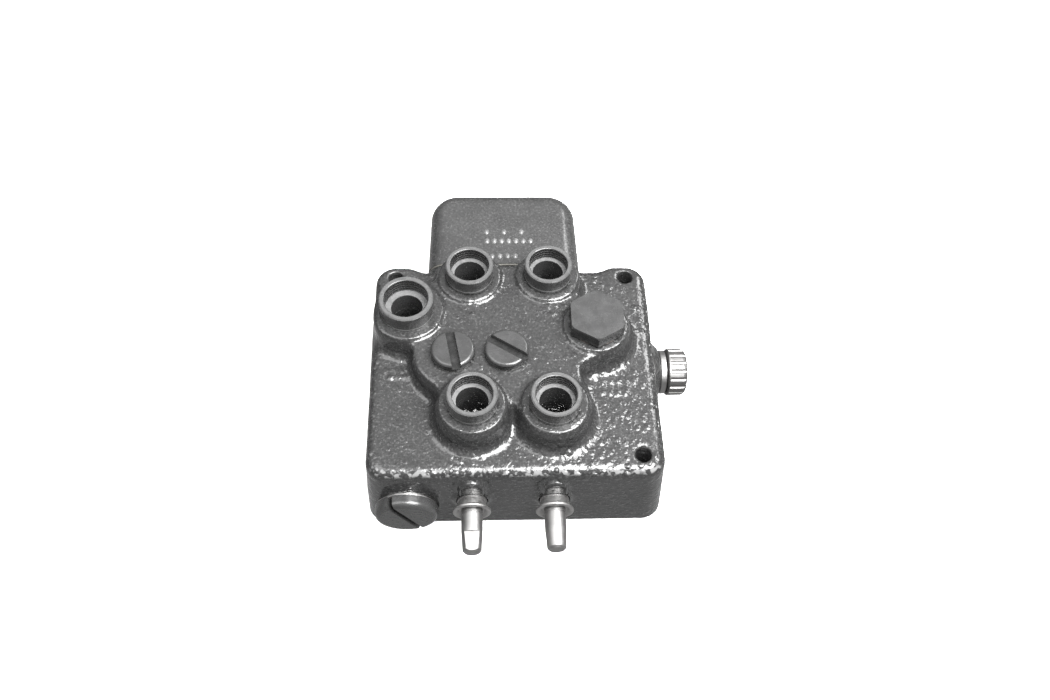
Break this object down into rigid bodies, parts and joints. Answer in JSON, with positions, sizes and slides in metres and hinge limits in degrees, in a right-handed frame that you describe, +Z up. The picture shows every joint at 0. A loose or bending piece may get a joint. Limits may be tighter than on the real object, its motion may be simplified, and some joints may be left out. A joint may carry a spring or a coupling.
{
  "type": "solenoid directional valve",
  "caption": "Cast hydraulic valve block with screwed ports on top, push pins in front, a solenoid cover behind and a knurled bypass knob on the right side.",
  "frame": {"origin": "centre of the block's flat base face", "axes": "+X to the bypass knob, +Y to the solenoid cover at the rear, +Z up through the ports"},
  "size_m": [0.1402, 0.181, 0.062],
  "materials": {
    "cast_paint": "satin grey enamel over rough cast iron",
    "cover_paint": "satin grey enamel over a smoother casting",
    "collar_paint": "satin grey enamel, rubbed bright on the rims",
    "plug_paint": "satin grey enamel over turned steel",
    "zinc_steel": "bright zinc plate",
    "guide_steel": "dull turned steel",
    "knob_zinc": "bright zinc plate over straight fluting",
    "hard_steel": "ground",
    "spring_steel": "drawn wire",
    "soft_iron": "plain machined iron",
    "tube_steel": "drawn stainless tube",
    "copper_wire": "enamelled copper winding",
    "copper_sheet": "soft copper",
    "strainer_brass": "perforated brass sheet",
    "terminal_brass": "turned brass",
    "soft_metal": "soft sealing washer",
    "seal_rubber": "matt black nitrile",
    "bobbin_plastic": "moulded nylon",
    "block_plastic": "moulded phenolic",
    "gland_plastic": "moulded nylon",
    "gasket_fibre": "dark fibre sheet"
  },
  "bodies": {
    "valve": {"valve_body": "cast_paint", "port_island": "cast_paint", "port_collar_inlet": "collar_paint", "port_collar_rear_left": "collar_paint", "port_collar_rear_right": "collar_paint", "port_collar_front_left": "collar_paint", "port_collar_front_right": "collar_paint", "check_plug_left": "plug_paint", "check_washer_left": "soft_metal", "check_spring_left": "spring_steel", "pin_guide_left": "guide_steel", "wiper_seal_left": "seal_rubber", "armature_tube_left": "tube_steel", "pole_piece_left": "soft_iron", "return_spring_left": "spring_steel", "bobbin_left": "bobbin_plastic", "winding_left": "copper_wire", "coil_frame_left": "soft_iron", "coil_nut_left": "zinc_steel", "check_plug_right": "plug_paint", "check_washer_right": "soft_metal", "check_spring_right": "spring_steel", "pin_guide_right": "guide_steel", "wiper_seal_right": "seal_rubber", "armature_tube_right": "tube_steel", "pole_piece_right": "soft_iron", "return_spring_right": "spring_steel", "bobbin_right": "bobbin_plastic", "winding_right": "copper_wire", "coil_frame_right": "soft_iron", "coil_nut_right": "zinc_steel", "relief_plug": "plug_paint", "relief_washer": "copper_sheet", "relief_spring": "spring_steel", "strainer_plug": "plug_paint", "strainer_seal": "soft_metal", "strainer_basket": "strainer_brass", "terminal_block": "block_plastic", "terminal_screws": "terminal_brass", "solenoid_cover": "cover_paint", "cover_gasket": "gasket_fibre", "cover_screws": "zinc_steel", "gland_body": "gland_plastic", "gland_lock_nut": "gland_plastic", "gland_cap": "gland_plastic", "gland_seal": "seal_rubber", "bypass_bonnet": "zinc_steel", "bypass_packing": "seal_rubber"},
    "left_spool": {"spool_left": "hard_steel", "override_pin_left": "zinc_steel", "armature_left": "soft_iron"},
    "right_spool": {"spool_right": "hard_steel", "override_pin_right": "zinc_steel", "armature_right": "soft_iron"},
    "left_check": {"check_ball_left": "hard_steel"},
    "right_check": {"check_ball_right": "hard_steel"},
    "relief": {"relief_poppet": "hard_steel"},
    "bypass_closer": {"bypass_ball": "hard_steel"},
    "bypass_screw": {"bypass_stem": "hard_steel", "bypass_knob": "knob_zinc"}
  },
  "joints": [
    {"name": "left_spool_slide", "type": "slide", "parent": "valve", "child": "left_spool", "axis": [0, 1, 0], "range_m": [0, 0.004], "stiffness_N_per_m": 1500, "springref_m": -0.005, "deforming": ["return_spring_left"]},
    {"name": "right_spool_slide", "type": "slide", "parent": "valve", "child": "right_spool", "axis": [0, 1, 0], "range_m": [0, 0.004], "stiffness_N_per_m": 1500, "springref_m": -0.005, "deforming": ["return_spring_right"]},
    {"name": "left_check_lift", "type": "slide", "parent": "valve", "child": "left_check", "axis": [0, 0, 1], "range_m": [0, 0.0025], "stiffness_N_per_m": 200, "springref_m": -0.004, "deforming": ["check_spring_left"]},
    {"name": "right_check_lift", "type": "slide", "parent": "valve", "child": "right_check", "axis": [0, 0, 1], "range_m": [0, 0.0025], "stiffness_N_per_m": 200, "springref_m": -0.004, "deforming": ["check_spring_right"]},
    {"name": "relief_lift", "type": "slide", "parent": "valve", "child": "relief", "axis": [0, 0, 1], "range_m": [0, 0.003], "stiffness_N_per_m": 1000, "springref_m": -0.006, "deforming": ["relief_spring"]},
    {"name": "bypass_travel", "type": "slide", "parent": "valve", "child": "bypass_closer", "axis": [1, 0, 0], "range_m": [0, 0.002]},
    {"name": "bypass_turn", "type": "hinge", "parent": "bypass_closer", "child": "bypass_screw", "pos_m": [0.069, 0.009, 0.0197], "axis": [1, 0, 0], "range_deg": [0, 720]}
  ],
  "couplings": [
    {"joint": "bypass_turn", "follows": "bypass_travel", "rad_per_m": 6283.2}
  ]
}
